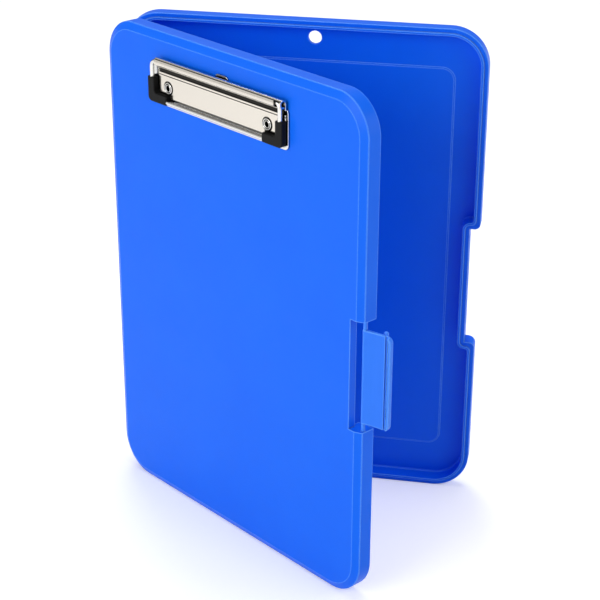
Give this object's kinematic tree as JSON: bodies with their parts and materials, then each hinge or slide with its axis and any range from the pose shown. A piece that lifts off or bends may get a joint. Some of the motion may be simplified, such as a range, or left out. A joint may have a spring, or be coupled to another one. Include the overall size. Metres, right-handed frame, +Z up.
{
  "type": "storage clipboard",
  "caption": "Plastic storage clipboard that opens like a book on a long side hinge, with a hinged snap latch, a low sprung paper clip and a hanging hole.",
  "frame": {"origin": "on the surface the box stands on, at the middle of the rear tray's width and depth", "axes": "+X along the rear tray's width from the hinge to the latch side, +Y from its open side to its back, +Z up the box's length"},
  "size_m": [0.2546, 0.1767, 0.343],
  "materials": {
    "case_plastic": "smooth moulded plastic with a soft gloss",
    "pin_steel": "plain drawn steel",
    "nickel_steel": "bright nickel plate",
    "satin_steel": "satin nickel plate",
    "grip_rubber": "matte black rubber"
  },
  "bodies": {
    "rear_tray": {"rear_tray": "case_plastic", "hinge_pin_upper": "pin_steel", "hinge_pin_lower": "pin_steel"},
    "front_cover": {"front_cover": "case_plastic", "clip_base_plate": "nickel_steel", "clip_top_plate": "satin_steel", "clip_rivet_left": "nickel_steel", "clip_rivet_right": "nickel_steel", "clip_washer_left": "pin_steel", "clip_washer_right": "pin_steel"},
    "latch": {"latch": "case_plastic"},
    "clip_bail": {"clip_bail": "nickel_steel", "clip_grip_left": "grip_rubber", "clip_grip_right": "grip_rubber"},
    "hanging_tab": {"clip_hanging_tab": "nickel_steel"}
  },
  "joints": [
    {"name": "cover_hinge", "type": "hinge", "parent": "rear_tray", "child": "front_cover", "pos_m": [-0.1275, -0.00625, 0.1715], "axis": [0, 0, -1], "range_deg": [-36.4, 143.6]},
    {"name": "latch_hinge", "type": "hinge", "parent": "front_cover", "child": "latch", "pos_m": [0.06883, -0.16007, 0.164], "axis": [0, 0, -1], "range_deg": [-78, 18]},
    {"name": "bail_pivot", "type": "hinge", "parent": "front_cover", "child": "clip_bail", "pos_m": [-0.03716, -0.09335, 0.3251], "axis": [-0.8049, 0.5934, 0], "range_deg": [0, 90], "stiffness_Nm_per_rad": 0.12, "springref_deg": -34.38},
    {"name": "tab_slide", "type": "slide", "parent": "front_cover", "child": "hanging_tab", "axis": [0, 0, 1], "range_m": [0, 0.01]}
  ]
}
